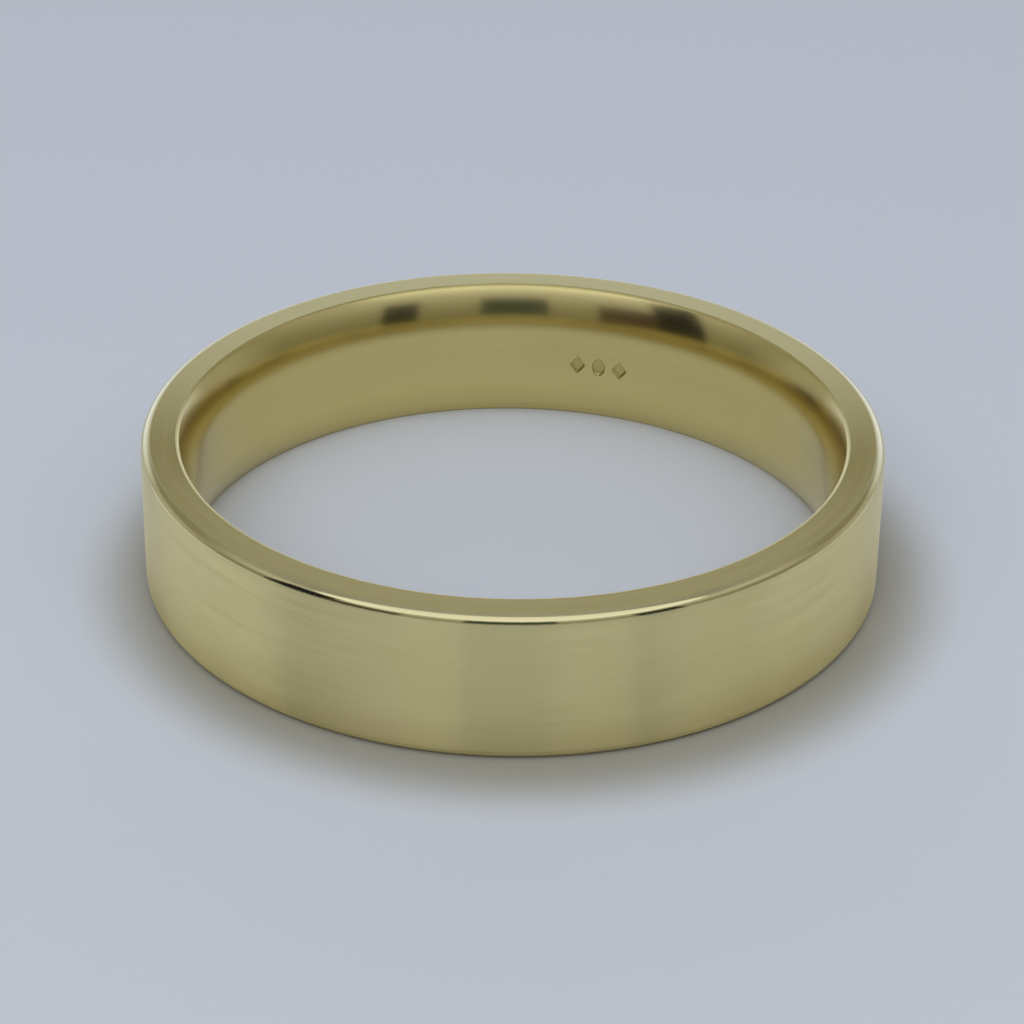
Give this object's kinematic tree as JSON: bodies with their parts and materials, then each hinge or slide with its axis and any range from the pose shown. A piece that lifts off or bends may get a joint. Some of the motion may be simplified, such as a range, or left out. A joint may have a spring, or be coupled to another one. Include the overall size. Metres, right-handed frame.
{
  "type": "wedding band",
  "caption": "Plain round wedding band with a flat outer wall, flat sides, softly rounded outer edges and a bore eased open towards each side for comfort.",
  "frame": {"origin": "centre of the bore at mid width", "axes": "+Z along the bore's axis, so the band lies flat on its lower side; the marks inside the bore are near +Y"},
  "size_m": [0.0195, 0.0194, 0.004],
  "materials": {
    "gold": "fine satin outside and sides, polished edges and bore"
  },
  "bodies": {
    "root": {"band": "gold"}
  },
  "joints": []
}
